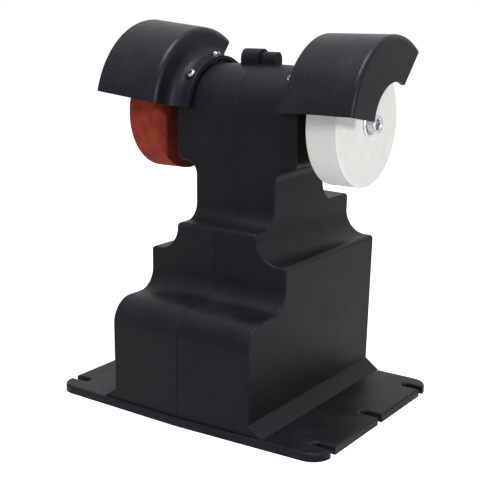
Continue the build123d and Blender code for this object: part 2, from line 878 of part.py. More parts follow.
def make_commutator():
    """The commutator, grooved between its bars."""
    start = -commutator_end() - commutator_length
    outline = Circle(commutator_radius) - Circle(shaft_radius + fit_gap)
    groove = Pos(commutator_radius, 0) * Rectangle(commutator_groove_depth * 2, commutator_groove)
    for i in range(pole_count):
        outline -= Rot(0, 0, 360 * (i + 1 / 2) / pole_count) * groove
    return Pos(start, 0, axis_height) * extrude(Plane.YZ * outline, amount=commutator_length)


def brush_block(half_width, inner, outer):
    """A square bar above the commutator, pointing at the wheel axis."""
    middle = -commutator_end() - commutator_length / 2
    side = half_width
    return block_between(
        middle - side, middle + side, -side, side, axis_height + inner, axis_height + outer
    )


def make_brushes():
    """The two carbon brushes, hollowed to the commutator."""
    contact = commutator_radius + brush_gap
    brush = brush_block(brush_width / 2, commutator_radius / 2, contact + brush_length)
    brush -= axle_rod(-can_half_length, 0, contact)
    return Compound(children=[brush, about_axle(brush, 180)])


def make_brush_holders():
    """The two brush holders, standing out from the left end bell."""
    slot = brush_width / 2 + brush_side_gap
    foot = commutator_radius + brush_holder_lift
    top = commutator_radius + brush_gap + brush_length
    middle = -commutator_end() - commutator_length / 2
    half = slot + brush_holder_wall
    holder = brush_block(half, foot, top)
    holder += block_between(-can_half_length, middle, -half, half, axis_height + foot, axis_height + top)
    holder -= brush_block(slot, foot - overrun, top + overrun)
    return Compound(children=[holder, about_axle(holder, 180)])


def make_battery_sleeve(tower):
    """The sleeve that the battery pack slides into, open at the rear face."""
    sleeve = sleeve_box(back_face_at(sleeve_top) + overrun) & tower
    half = pack_half_width + pack_gap
    past_back = back_face_at(sleeve_top) + overrun * 2
    sleeve -= block_between(
        -half, half, -sleeve_front, past_back, pack_bottom - pack_gap, pack_top + pack_gap
    )
    for slot in blade_slots(fit_gap):
        sleeve -= slot
    groove_half = button_tooth_half_width + button_gap
    groove_front = button_tooth_front() - button_gap
    sleeve -= block_between(
        -groove_half, groove_half, groove_front, past_back, pack_top, sleeve_top + overrun
    )
    return sleeve


def blade_slots(gap):
    """Room for the contact blades, wider than each by a gap all round."""
    slots = []
    for i in range(blade_count):
        x = (i - (blade_count - 1) / 2) * blade_pitch
        slots.append(block_between(
            x - blade_thickness / 2 - gap, x + blade_thickness / 2 + gap,
            -sleeve_front - sleeve_wall - blade_tail - gap, -pack_front - pack_gap + blade_length + gap,
            pack_middle - blade_height / 2 - gap, pack_middle + blade_height / 2 + gap,
        ))
    return slots


def make_terminal_block():
    """The block at the front end of the sleeve that holds the contact blades."""
    block = block_between(
        -terminal_block_half_width, terminal_block_half_width, -sleeve_front, -pack_front - pack_gap,
        pack_middle - terminal_block_height / 2, pack_middle + terminal_block_height / 2,
    )
    for slot in blade_slots(fit_gap):
        block -= slot
    return block


def pack_block(inset):
    """The battery pack's envelope, moved inward by an inset all round."""
    block = block_between(
        -pack_half_width + inset, pack_half_width - inset, -pack_front + inset, back_face_at(pack_top),
        pack_bottom + inset, pack_top - inset,
    )
    return block - behind_rear_plane(pack_setback + inset)


def button_face():
    """How far back the release button's window lies, at the middle of its pad."""
    return back_face_at(button_top - button_pad_height / 2) - pack_setback


def button_tooth_front():
    """The front of the release button's tooth."""
    return button_face() - button_arm_length


def make_battery_case():
    """The battery pack's case, open at its front, with finger grooves and a window for the button."""
    case = pack_block(0)
    case = fillet(case.edges().filter_by(Axis.Y).group_by(Axis.Z)[0], pack_edge_round)
    case = fillet(case.edges().filter_by(Axis.Y).group_by(Axis.Z)[-1], pack_edge_round)
    lid_room = block_between(
        -pack_half_width, pack_half_width,
        -pack_front - overrun, -pack_front + pack_lid_thickness,
        0, axis_height,
    )
    hollow = pack_block(pack_wall) + block_between(
        -pack_half_width + pack_wall, pack_half_width - pack_wall, -pack_front, 0,
        pack_bottom + pack_wall, pack_top - pack_wall,
    )
    case = case - lid_room - hollow
    window_half = button_half_width + button_gap
    case -= block_between(
        -window_half, window_half, button_face() - pack_wall * 2, back_face_at(pack_top) + overrun,
        button_top - button_pad_height - button_travel - button_gap, button_top + button_roof_gap,
    )
    tooth_half = button_tooth_half_width + button_gap
    case -= block_between(
        -tooth_half, tooth_half, button_tooth_front() - button_gap,
        button_tooth_front() + button_tooth_length + button_gap, button_top, pack_top + overrun,
    )
    for i in range(pack_grip_count):
        height = pack_bottom + pack_grip_start + i * pack_grip_pitch
        groove = Box(pack_grip_half_length * 2, pack_grip_width, pack_grip_depth * 2)
        case -= rear_plane(height, pack_setback) * groove
    return case


def make_battery_lid():
    """The front lid of the battery pack, slotted for the blades."""
    lid = pack_block(0) & block_between(
        -pack_half_width, pack_half_width,
        -pack_front, -pack_front + pack_lid_thickness,
        pack_bottom, pack_top,
    )
    lid = fillet(lid.edges().filter_by(Axis.Y), pack_edge_round)
    for slot in blade_slots(clip_gap):
        lid -= slot
    return lid


def make_battery_cells():
    """The row of round cells in the pack, each with its end button."""
    pitch = cell_radius * 2 + cell_gap
    cells = []
    for i in range(cell_count):
        x = (i - (cell_count - 1) / 2) * pitch
        cell = y_rod(cell_front, cell_back, x, pack_middle, cell_radius)
        tip = cell_front - cell_button_height
        cells.append(cell + y_rod(tip, cell_front, x, pack_middle, cell_button_radius))
    return Compound(children=cells)


def make_battery_board():
    """The protection board that lies on top of the cells."""
    bottom = pack_middle + cell_radius + cell_gap
    return block_between(
        -pack_board_half_width, pack_board_half_width, cell_front, cell_front + pack_board_length,
        bottom, bottom + pack_board_thickness,
    )


def make_battery_clips():
    """Pairs of spring strips behind the lid that grip the blades."""
    start = -pack_front + pack_lid_thickness
    strips = []
    for i in range(blade_count):
        x = (i - (blade_count - 1) / 2) * blade_pitch
        for side in (-1, 1):
            near = x + side * (blade_thickness / 2 + clip_gap)
            far = near + side * clip_thickness
            strips.append(block_between(
                min(near, far), max(near, far), start, start + clip_length,
                pack_middle - blade_height / 2, pack_middle + blade_height / 2,
            ))
    return Compound(children=strips)


def make_release_button():
    """The battery's release button: a thumb pad, an arm and the tooth that locks into the sleeve."""
    face = button_face() + button_proud
    pad_front = face - button_pad_thickness
    tooth = button_tooth_front()
    pad = block_between(
        -button_half_width, button_half_width,
        pad_front, face,
        button_top - button_pad_height, button_top,
    )
    pad = fillet(pad.edges().filter_by(Axis.X).sort_by(Axis.Y)[-2:], button_proud / 2)
    arm = block_between(
        -button_tooth_half_width, button_tooth_half_width,
        tooth, pad_front,
        button_top - button_arm_thickness, button_top,
    )
    hook = block_between(
        -button_tooth_half_width, button_tooth_half_width,
        tooth, tooth + button_tooth_length,
        button_top, pack_top + pack_gap + button_tooth_rise,
    )
    return pad + arm + hook


def make_switch_body():
    """The body of the rocker switch, with its bezel and the pocket that the rocker turns in."""
    back = rear_plane(switch_height, bezel_recess)
    body = Pos(0, 0, -switch_depth / 2) * Box(
        (switch_half_width - fit_gap) * 2, (switch_half_height - fit_gap) * 2, switch_depth
    )
    bezel = Pos(0, 0, bezel_thickness / 2) * Box(
        (switch_half_width + bezel_margin) * 2, (switch_half_height + bezel_margin) * 2, bezel_thickness
    )
    bezel = chamfer(bezel.faces().sort_by(Axis.Z)[-1].edges(), bezel_round)
    body += bezel
    pocket_width = (switch_half_width - switch_wall) * 2
    pocket_height = (switch_half_height - switch_wall) * 2
    pocket_depth = bezel_thickness + rocker_pocket_depth
    body -= Pos(0, 0, bezel_thickness - pocket_depth / 2) * Box(pocket_width, pocket_height, pocket_depth)
    pin_hole = Cylinder(rocker_pin_radius + rocker_pin_gap, pocket_width + rocker_pin_length * 2)
    return back * (body - Pos(0, 0, -rocker_pivot_depth) * Rot(0, 90, 0) * pin_hole)


def make_switch_rocker():
    """The rocker, tilted to its off position about a pin along X."""
    half_width = switch_half_width - switch_wall - rocker_gap
    end_height = rocker_pivot_depth + rocker_end_rise
    middle_height = rocker_pivot_depth + rocker_middle_rise
    outline = rounded_face([
        (-rocker_half_height, end_height, 0),
        (-rocker_half_height, 0, 0),
        (-rocker_foot, -rocker_foot, 0),
        (rocker_foot, -rocker_foot, 0),
        (rocker_half_height, 0, 0),
        (rocker_half_height, end_height, 0),
        (0, middle_height, 0),
    ])
    rocker = extrude(Plane.YZ * outline, amount=half_width, both=True)
    pin_length = (half_width + rocker_gap) * 2 + rocker_pin_length
    rocker += Rot(0, 90, 0) * Cylinder(rocker_pin_radius, pin_length)
    pivot = rear_plane(switch_height, bezel_recess) * Pos(0, 0, -rocker_pivot_depth)
    return pivot * Rot(rocker_swing_angle, 0, 0) * rocker


def make_switch_tabs():
    """The two contact tabs behind the switch."""
    back = rear_plane(switch_height, bezel_recess)
    tabs = []
    for side in (-1, 1):
        tab = Box(switch_tab_width, switch_tab_thickness, switch_tab_length)
        place = Pos(0, side * switch_tab_pitch / 2, -switch_depth - switch_tab_length / 2)
        tabs.append(back * place * tab)
    return Compound(children=tabs)


def make_controller_board():
    """The motor controller's board, standing against its posts."""
    return block_between(
        board_place, board_place + board_thickness,
        board_middle - board_half_depth, board_middle + board_half_depth,
        board_bottom, board_top,
    )


def make_heat_sink():
    """The finned heat sink on the controller board."""
    middle_z = (board_bottom + board_top) / 2
    foot = board_place - heat_sink_base
    low = middle_z - heat_sink_height / 2
    high = middle_z + heat_sink_height / 2
    front = board_middle - heat_sink_half_depth
    back = board_middle + heat_sink_half_depth
    sink = block_between(foot, board_place, front, back, low, high)
    pitch = (back - front - heat_sink_fin) / (heat_sink_fins - 1)
    for i in range(heat_sink_fins):
        start = front + i * pitch
        sink += block_between(foot - heat_sink_rise, foot, start, start + heat_sink_fin, low, high)
    return sink


def make_capacitor():
    """The round capacitor on the controller board."""
    y = board_middle + (heat_sink_half_depth + board_half_depth) / 2
    z = board_bottom + capacitor_radius * 2
    return x_rod(board_place - capacitor_length, board_place, y, z, capacitor_radius)


def build_nodes():
    """Every separate piece of the grinder under its own name."""
    half = common_half()
    tower = tower_half(0)
    tower = tower + mirror(tower, about=Plane.YZ)
    bearing_middles = (bearing_width / 2 - bearing_reach, bearing_reach - bearing_width / 2)
    balls = [ball for middle in bearing_middles for ball in make_balls(middle)]
    right_guard = make_guard(
        right_hood_radius, right_hood_flare, right_hood_reach, sharp_rim, right_hood_rim,
        right_back_angle, 0,
    )
    left_guard = make_guard(
        left_hood_radius, left_hood_flare, left_hood_reach, left_hood_rim, sharp_rim,
        left_back_angle, left_front_twist_angle,
    )
    right_bell = make_end_bell()
    guard_screws = make_guard_screws()
    left = Plane.YZ
    return {
        "right_shell": make_right_shell(half),
        "left_shell": make_left_shell(half),
        "shell_screws": make_shell_screws(),
        "right_guard": right_guard,
        "left_guard": mirror(left_guard, about=left),
        "right_guard_screws": guard_screws,
        "left_guard_screws": mirror(guard_screws, about=left),
        "motor_can": make_motor_can(),
        "motor_magnets": make_magnets(),
        "right_end_bell": right_bell,
        "left_end_bell": mirror(right_bell, about=left),
        "brush_holders": make_brush_holders(),
        "carbon_brushes": make_brushes(),
        "bearing_outer_rings": Compound(children=[make_outer_ring(middle) for middle in bearing_middles]),
        "bearing_inner_rings": Compound(children=[make_inner_ring(middle) for middle in bearing_middles]),
        "bearing_balls": Compound(children=balls),
        "spindle_shaft": make_spindle_shaft(),
        "armature_core": make_armature_core(),
        "armature_windings": make_armature_windings(),
        "commutator": make_commutator(),
        "right_wheel_collar": make_wheel_collar(white_wheel_inner, white_wheel_width),
        "left_wheel_collar": mirror(make_wheel_collar(red_wheel_inner, red_wheel_width), about=left),
        "white_wheel": make_wheel(white_wheel_inner, white_wheel_outer),
        "red_wheel": mirror(make_wheel(red_wheel_inner, red_wheel_outer), about=left),
        "right_wheel_nut": make_wheel_nut(white_wheel_outer),
        "left_wheel_nut": mirror(make_wheel_nut(red_wheel_outer), about=left),
        "battery_sleeve": make_battery_sleeve(tower),
        "terminal_block": make_terminal_block(),
        "contact_blades": Compound(children=blade_slots(0)),
        "battery_case": make_battery_case(),
        "battery_lid": make_battery_lid(),
        "battery_cells": make_battery_cells(),
        "battery_board": make_battery_board(),
        "battery_clips": make_battery_clips(),
        "release_button": make_release_button(),
        "switch_body": make_switch_body(),
        "switch_rocker": make_switch_rocker(),
        "switch_tabs": make_switch_tabs(),
        "controller_board": make_controller_board(),
        "heat_sink": make_heat_sink(),
        "capacitor": make_capacitor(),
    }


os.makedirs("parts", exist_ok=True)
for name, shape in build_nodes().items():
    export_step(shape, f"parts/{name}.step")
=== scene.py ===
# %% [markdown]
# A small cordless bench grinder: a stepped black plastic tower on a slotted base, with a motor in its
# barrel and a grinding wheel under a plastic hood at each end. The measured model of every piece is loaded
# first, as a fixed frame. This script gives each piece its finish, models the few forms that the finish
# needs, and sets up the studio. Working on top of the measured model keeps every size and every joint true.
# Millimetres are the unit of a workshop drawing, and Blender works in metres, so one factor turns the first
# into the second.

# %% Load the measured model
import bmesh
import bpy
import json
import math
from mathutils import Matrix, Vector


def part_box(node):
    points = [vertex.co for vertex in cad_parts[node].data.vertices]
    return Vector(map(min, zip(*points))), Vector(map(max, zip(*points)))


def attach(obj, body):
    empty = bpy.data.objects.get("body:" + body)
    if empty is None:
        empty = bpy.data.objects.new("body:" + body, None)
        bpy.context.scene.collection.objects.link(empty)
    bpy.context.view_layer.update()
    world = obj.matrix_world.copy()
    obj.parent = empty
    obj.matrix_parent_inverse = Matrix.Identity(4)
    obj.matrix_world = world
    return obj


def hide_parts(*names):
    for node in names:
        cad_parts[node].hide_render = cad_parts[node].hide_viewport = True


mm = 0.001
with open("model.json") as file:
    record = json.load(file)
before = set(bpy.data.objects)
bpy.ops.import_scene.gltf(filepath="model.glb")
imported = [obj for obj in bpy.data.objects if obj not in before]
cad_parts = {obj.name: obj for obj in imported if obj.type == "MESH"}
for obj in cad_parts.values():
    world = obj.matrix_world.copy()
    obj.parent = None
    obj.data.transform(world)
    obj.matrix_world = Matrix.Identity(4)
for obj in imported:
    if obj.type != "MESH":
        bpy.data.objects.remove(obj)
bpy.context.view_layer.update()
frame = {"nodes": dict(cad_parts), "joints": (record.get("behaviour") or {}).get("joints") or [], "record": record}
nodes = frame["nodes"]
print("pieces loaded:", len(nodes))

# %% [markdown]
# Both wheels turn on one axis. It could be typed in as a number, but the model already knows it as the
# hinge of the spindle, so it is read from that joint and stays true if the model changes.

# %% The wheel axis
spindle_joint = [joint for joint in frame["joints"] if joint["child"] == "spindle"][0]
axle = Vector(spindle_joint["pos_m"])
print("wheel axis at", round(axle.z / mm, 1), "mm above the bench")

# %% [markdown]
# The camera was solved from the photograph: the straight edges of the base, the seam and the circles of the
# wheels all fit one viewpoint to under a pixel of its 480 by 480 frame. The photograph is cropped a little
# off its lens axis, which the two small shifts repeat. The camera comes first, so that each later step can
# be judged from the photograph's own viewpoint.

# %% Camera
frame_pixels = 480
sensor_width = 36
focal_pixels = 1039.55
axis_pixel_x = 220.7
axis_pixel_y = 259.3
azimuth = 35.51
elevation = 14.2
viewpoint = (0.3545, -0.5424, 0.2467)

camera_data = bpy.data.cameras.new("camera")
camera_data.sensor_width = sensor_width
camera_data.lens = focal_pixels / frame_pixels * sensor_width
camera_data.shift_x = (frame_pixels / 2 - axis_pixel_x) / frame_pixels
camera_data.shift_y = (axis_pixel_y - frame_pixels / 2) / frame_pixels
camera = bpy.data.objects.new("camera", camera_data)
bpy.context.scene.collection.objects.link(camera)
camera.location = viewpoint
camera.rotation_euler = (math.radians(90 - elevation), 0, math.radians(azimuth))
bpy.context.scene.camera = camera
bpy.context.scene.view_settings.view_transform = "Standard"
print("lens of", round(camera_data.lens, 1), "mm")

# %% [markdown]
# Colours are chosen as sRGB hex values, as a paint chart or a screen gives them. Shaders work with linear
# light, so one function turns the first into the second. The sRGB curve starts as a short straight line and
# goes on as a power.

# %% Colour helper
def linear(hex_colour):
    straight_end, straight_slope = 0.04045, 12.92
    curve_shift, curve_power = 0.055, 2.4
    channels = [int(hex_colour[start:start + 2], 16) / 255 for start in (1, 3, 5)]
    return [channel / straight_slope if channel <= straight_end
            else ((channel + curve_shift) / (1 + curve_shift)) ** curve_power for channel in channels] + [1.0]


print("mid grey is", [round(channel, 3) for channel in linear("#808080")[:3]])

# %% [markdown]
# A procedural finish is a small tree of nodes. It could be clicked together in the node editor, but in a
# script it can be given names and used again. One function adds a node of any kind with its settings and
# its links, which keeps every recipe below to a few lines, and a colour ramp is also given its stops, each
# a position and a colour. A smaller one makes a single link, in which a node stands for its first output.

# %% Node helper
def link(tree, source, node, socket):
    output = source if isinstance(source, bpy.types.NodeSocket) else source.outputs[0]
    tree.links.new(output, node.inputs[socket])


def add(tree, kind, settings=None, links=None, stops=()):
    node = tree.nodes.new(kind)
    for name, value in (settings or {}).items():
        if isinstance(name, int) or name in node.inputs:
            node.inputs[name].default_value = value
        else:
            setattr(node, name, value)
    for socket, source in (links or {}).items():
        link(tree, source, node, socket)
    for number, (position, colour) in enumerate(stops):
        node.color_ramp.elements[number].position = position
        node.color_ramp.elements[number].color = linear(colour)
    return node


print("node helper ready")

# %% [markdown]
# Every finish starts in the same way: with the constants of its surface, set straight on the shader, where
# the export keeps them, and with the place on the piece, read from its own coordinates, so that the pattern
# stays put when the piece moves. A relief at the end tips the light without changing the mesh.

# %% How a finish starts and ends
finishes = {}


def start_material(name, colour, roughness, metallic=0.0, ior=1.5, specular=0.5, tint="#ffffff"):
    material = bpy.data.materials.new(name)
    material.use_nodes = True
    shader = material.node_tree.nodes["Principled BSDF"]
    shader.inputs["Base Color"].default_value = linear(colour)
    shader.inputs["Roughness"].default_value = roughness
    shader.inputs["Metallic"].default_value = metallic
    shader.inputs["IOR"].default_value = ior
    shader.inputs["Specular IOR Level"].default_value = specular
    shader.inputs["Specular Tint"].default_value = linear(tint)
    finishes[name] = material
    return material.node_tree, shader


def place_on_piece(tree, scale=(1, 1, 1), shift=(0, 0, 0)):
    own = add(tree, "ShaderNodeTexCoord").outputs["Object"]
    return add(tree, "ShaderNodeMapping", {"Scale": scale, "Location": shift}, {"Vector": own})


def end_with_relief(tree, shader, colour, roughness, heights):
    link(tree, colour, shader, "Base Color")
    if roughness:
        link(tree, roughness, shader, "Roughness")
    normal = None
    for height, depth in heights:
        links = {"Height": height, "Normal": normal} if normal else {"Height": height}
        normal = add(tree, "ShaderNodeBump", {"Strength": 1.0, "Distance": depth * mm}, links)
    link(tree, normal, shader, "Normal")


print("finish helpers ready")

# %% [markdown]
# A noise is a cloudy pattern, whose scale is one over the size of its clouds. It mixes coarse clouds with
# finer ones: a grain wants many, and a slow waviness few. Its value seldom leaves the middle of its range,
# so it is read from 0.3 to 0.7.

# %% Values for the noises
grain_mix = {"Detail": 4.0, "Roughness": 0.6}
cloud_mix = {"Detail": 3.0, "Roughness": 0.6}
wave_mix = {"Detail": 2.0, "Roughness": 0.6}
speck_mix = {"Detail": 1.0, "Roughness": 0.6}
noise_low = 0.3
noise_high = 0.7
noise_middle = {"From Min": noise_low, "From Max": noise_high}
print("noises are read from", noise_low, "to", noise_high)

# %% [markdown]
# A little pale dust gathers on dark matt plastic that has been handled. It could be painted on by hand, but
# two noises place it without any picture: one gives the specks, the other the patches that they gather in,
# and their product says where dust lies. Real specks are about 0.3 mm wide, which is too fine for this
# picture, so they are drawn 1.3 mm wide, in patches of 18 mm.

# %% Dust
dust_colour = "#8e8c94"
speck_size = 1.3
speck_edge = (0.7, 0.8)
patch_size = 18.0
patch_edge = (0.52, 0.66)


def dust_over(tree, place, colour, amount):
    layers = []
    for size, (low, high), strength in ((speck_size, speck_edge, amount), (patch_size, patch_edge, 1.0)):
        noise = add(tree, "ShaderNodeTexNoise", {"Scale": 1 / (size * mm)} | speck_mix, {"Vector": place})
        layers.append(add(tree, "ShaderNodeMapRange", {"From Min": low, "From Max": high, "To Max": strength},
                          {"Value": noise}))
    dusted = add(tree, "ShaderNodeMath", {"operation": "MULTIPLY"}, {0: layers[0], 1: layers[1]})
    return add(tree, "ShaderNodeMixRGB", {"Color2": linear(dust_colour)}, {"Fac": dusted, "Color1": colour})


print("dust specks of", speck_size, "mm in patches of", patch_size, "mm")

# %% [markdown]
# The deep hollows of a moulding stay dull, because no hand or cloth polishes them. Ambient occlusion tells
# how closed in a spot is: 1 in the open, less in a corner. Within a given reach it makes the finish duller,
# so that no bright streak lights up the bottom of a hollow.

# %% Dull inner corners
corner_samples = 8
corner_open = 0.92
corner_closed = 0.55
corner_dulling = 0.4


def dull_corners(tree, roughness, reach):
    hollow = add(tree, "ShaderNodeAmbientOcclusion", {"Distance": reach * mm, "samples": corner_samples})
    extra = add(tree, "ShaderNodeMapRange",
                {"From Min": corner_open, "From Max": corner_closed, "To Max": corner_dulling},
                {"Value": hollow.outputs["AO"]})
    return add(tree, "ShaderNodeMath", {"operation": "ADD"}, {0: roughness, 1: extra})


print("corners grow duller by", corner_dulling)

# %% [markdown]
# The housing is glass-filled polypropylene, moulded in a spark-eroded tool that leaves a fine matt grain.
# The eye reads it by its soft bluish sheen, which is stronger where the surface is seen at a glance, more
# than by its colour. The real grain is about 0.2 mm wide and would vanish at this distance, so it is drawn
# 0.9 mm wide and very shallow, over a slow waviness of 22 mm, which is how thick moulded walls sink a
# little as they cool. The grain also speckles the colour, and where grain and waviness stand high the
# surface is a little duller. The sum of the two noises seldom leaves 0.7 to 1.3, so that is the range it is
# read from.

# %% Satin black moulded polypropylene
plastic_ior = 1.49
bluish_gloss = "#eeebff"
lightest_at = 0.75
plastic_glossier = 0.06
plastic_duller = 0.08
sum_middle = {"From Min": 0.7, "From Max": 1.3}


def moulded_plastic(name, dark, light, roughness, grain=0.9, grain_depth=0.03, wave=22.0, wave_depth=0.2,
                    specular=0.16, speckle=0.1, dust=0.0, corner_reach=0.0):
    tree, shader = start_material(name, dark, roughness, ior=plastic_ior, specular=specular,
                                  tint=bluish_gloss)
    place = place_on_piece(tree)
    fine = add(tree, "ShaderNodeTexNoise", {"Scale": 1 / (grain * mm)} | grain_mix, {"Vector": place})
    slow = add(tree, "ShaderNodeTexNoise", {"Scale": 1 / (wave * mm)} | wave_mix, {"Vector": place})
    specks = add(tree, "ShaderNodeMapRange", noise_middle | {"To Min": -speckle, "To Max": speckle},
                 {"Value": fine})
    speckled = add(tree, "ShaderNodeMath", {"operation": "ADD"}, {0: slow, 1: specks})
    colour = add(tree, "ShaderNodeValToRGB", {}, {"Fac": speckled}, [(noise_low, dark), (lightest_at, light)])
    if dust:
        colour = dust_over(tree, place, colour, dust)
    height = add(tree, "ShaderNodeMath", {"operation": "ADD"}, {0: fine, 1: slow})
    ends = {"To Min": roughness - plastic_glossier, "To Max": roughness + plastic_duller}
    dulled = add(tree, "ShaderNodeMapRange", sum_middle | ends, {"Value": height})
    if corner_reach:
        dulled = dull_corners(tree, dulled, corner_reach)
    end_with_relief(tree, shader, colour, dulled, [(slow, wave_depth), (fine, grain_depth)])


moulded_plastic("housing_plastic", "#0a0a0c", "#151518", 0.46, grain_depth=0.034, specular=0.165,
                speckle=0.3, dust=0.06)
print("made", finishes["housing_plastic"].name)

# %% [markdown]
# The hoods shine more than the housing, with a crisp line of light along their rounded rims, and their
# shine breaks up into a coarse speckle. So they get a lower roughness, and a grain drawn 1.3 mm wide and
# twice as deep, with more dust. Their deep hollows stay dull. The battery, its sleeve and the small moulded
# pieces use the same recipe with their own colours and gloss: nylon for the switch, a shrunk PVC sleeve on
# the cells, lacquer on the boards. The marks of the switch are white.

# %% The other moulded plastics
moulded_plastic("guard_plastic", "#0c0c0f", "#17171b", 0.37, grain=1.3, grain_depth=0.07, specular=0.2,
                speckle=0.35, dust=0.2, corner_reach=14)
moulded_plastic("battery_plastic", "#101012", "#17171a", 0.48, dust=0.06)
moulded_plastic("sleeve_plastic", "#0f0f10", "#151517", 0.55)
moulded_plastic("button_plastic", "#8f1d18", "#a3261f", 0.42, wave=8.0, wave_depth=0.05, specular=0.35)
moulded_plastic("terminal_plastic", "#17181a", "#1f2022", 0.5)
moulded_plastic("switch_plastic", "#0c0c0e", "#121214", 0.34, grain_depth=0.01, wave_depth=0.05, specular=0.3)
moulded_plastic("rocker_plastic", "#0c0c0d", "#111113", 0.22, grain_depth=0.005, wave_depth=0.03,
                specular=0.4)
moulded_plastic("cell_wrap", "#1d5c8a", "#23679a", 0.25, grain_depth=0.004, wave_depth=0.05, specular=0.5)
moulded_plastic("capacitor_wrap", "#1b2440", "#222c4c", 0.25, grain_depth=0.004, wave_depth=0.02,
                specular=0.5)
moulded_plastic("board_green", "#12502c", "#186338", 0.3, grain_depth=0.006, wave_depth=0.02, specular=0.5)
moulded_plastic("mark_white", "#d9d9d6", "#e4e4e1", 0.5, grain_depth=0.01, wave_depth=0.02, specular=0.3)
print("plastics:", len(finishes))

# %% [markdown]
# The brushes are pressed carbon and the magnets sintered ferrite. Both are powders pressed in a die, so
# they are dark, dull and finely pitted. The plastic recipe serves them too, with a finer grain of about 0.5
# mm, more roughness and hardly any waviness, because a die holds its shape better than a mould.

# %% Pressed powders
moulded_plastic("carbon", "#1c1c1c", "#2a2a2a", 0.7, grain=0.4, grain_depth=0.03, wave_depth=0.02)
moulded_plastic("ferrite", "#26272a", "#303236", 0.6, grain=0.5, grain_depth=0.02, wave_depth=0.02)
print("pressed powders made")

# %% [markdown]
# A grinding wheel is abrasive grit held in a fired bond, with pores between the grains. A Voronoi pattern
# gives every grain a cell of its own. The distance from the middle of its cell darkens the surface and
# raises it, so each cell is a shallow dimple, as where a grain has broken out. A noise then opens darker
# pores, and a slow cloudiness breaks up both discs, as an uneven firing does. The white wheel is fine
# alumina, whose 0.2 mm grains hardly show, so they are drawn 0.5 mm wide and nearly flat. The red-brown one
# is coarser, and its grains of 0.5 mm are drawn 0.8 mm wide.

# %% Bonded abrasive
bond_roughness = 0.9
bond_ior = 1.6
bond_specular = 0.2
tint_share = 0.5
pore_per_grain = 1.6
pore_edge = 0.06


def bonded_abrasive(name, dark, light, pore, grain, grain_depth, pore_share, cloud_size=9.0):
    tree, shader = start_material(name, light, bond_roughness, ior=bond_ior, specular=bond_specular)
    place = place_on_piece(tree)
    grains = add(tree, "ShaderNodeTexVoronoi", {"Scale": 1 / (grain * mm), "Randomness": 1.0},
                 {"Vector": place})
    cloud = add(tree, "ShaderNodeTexNoise", {"Scale": 1 / (cloud_size * mm)} | cloud_mix, {"Vector": place})
    tint = add(tree, "ShaderNodeMapRange", {"To Max": tint_share}, {"Value": grains})
    clouded = add(tree, "ShaderNodeMapRange", noise_middle | {"To Min": -tint_share, "To Max": tint_share},
                  {"Value": cloud})
    mottled = add(tree, "ShaderNodeMath", {"operation": "ADD"}, {0: tint, 1: clouded})
    body = add(tree, "ShaderNodeValToRGB", {}, {"Fac": mottled}, [(0.0, light), (1.0, dark)])
    pore_size = grain * pore_per_grain
    pores = add(tree, "ShaderNodeTexNoise", {"Scale": 1 / (pore_size * mm)} | speck_mix, {"Vector": place})
    pore_ends = {"From Min": 1 - pore_share, "From Max": 1 + pore_edge - pore_share}
    open_pore = add(tree, "ShaderNodeMapRange", pore_ends, {"Value": pores})
    colour = add(tree, "ShaderNodeMixRGB", {"Color2": linear(pore)}, {"Fac": open_pore, "Color1": body})
    height = add(tree, "ShaderNodeMath", {"operation": "SUBTRACT"}, {0: tint, 1: open_pore})
    end_with_relief(tree, shader, colour, None, [(height, grain_depth)])


bonded_abrasive("white_abrasive", "#dfddda", "#e6e5e2", "#cfccc7", 0.5, 0.012, 0.3)
bonded_abrasive("red_abrasive", "#742518", "#983a28", "#541a11", 0.8, 0.1, 0.27)
print("abrasives made")

# %% [markdown]
# Small bright metal looks hard and crisp because light does not reach its corners. Ambient
# occlusion finds those corners, and painted shade, a dark colour, is laid over the metal there. Both metal
# recipes below share this, and a cloudy roughness, because no real hardware is an even mirror.

# %% What metals share
full_painted_shade_at = 0.25
no_painted_shade_at = 0.85
metal_duller = 0.1


def metal_with_painted_shade(tree, cloud, dark, light, edges, reach, painted_shade):
    low, high = edges
    bare = add(tree, "ShaderNodeValToRGB", {}, {"Fac": cloud}, [(low, dark), (high, light)])
    # Painted shade: the metal colour is mixed towards a dark colour where ambient occlusion finds a corner.
    shade = add(tree, "ShaderNodeAmbientOcclusion", {"Distance": reach * mm, "samples": corner_samples})
    ends = {"From Min": full_painted_shade_at, "From Max": no_painted_shade_at, "To Min": 1.0, "To Max": 0.0}
    closed_in = add(tree, "ShaderNodeMapRange", ends, {"Value": shade.outputs["AO"]})
    return add(tree, "ShaderNodeMixRGB", {"Color2": linear(painted_shade)}, {"Fac": closed_in, "Color1": bare})


def cloudy_roughness(tree, cloud, roughness, glossier):
    ends = {"To Min": roughness - glossier, "To Max": roughness + metal_duller}
    return add(tree, "ShaderNodeMapRange", noise_middle | ends, {"Value": cloud})


print("no grime where the shade value is over", no_painted_shade_at)

# %% [markdown]
# Turned steel shows fine rings about the axis it was turned on. A Wave texture in rings about the X axis
# gives them with one node, once a Mapping node has centred it on the wheel axis. One wave of that texture
# is a twentieth of a full turn long, divided by its scale. Feed marks of a fine cut are 0.1 mm apart, which
# is too fine for this picture, so they are drawn 0.7 mm apart. The same rings, much deeper, stand for the
# wires of the motor's windings, which the closed housing hides.

# %% Turned and ground steel
wave_cycle = math.tau / 20
ring_wander = 0.6
ring_detail = 3.0
steel_cloud = 6.0
steel_edges = (0.35, 0.7)
steel_corner = 1.2
steel_glossier = 0.05
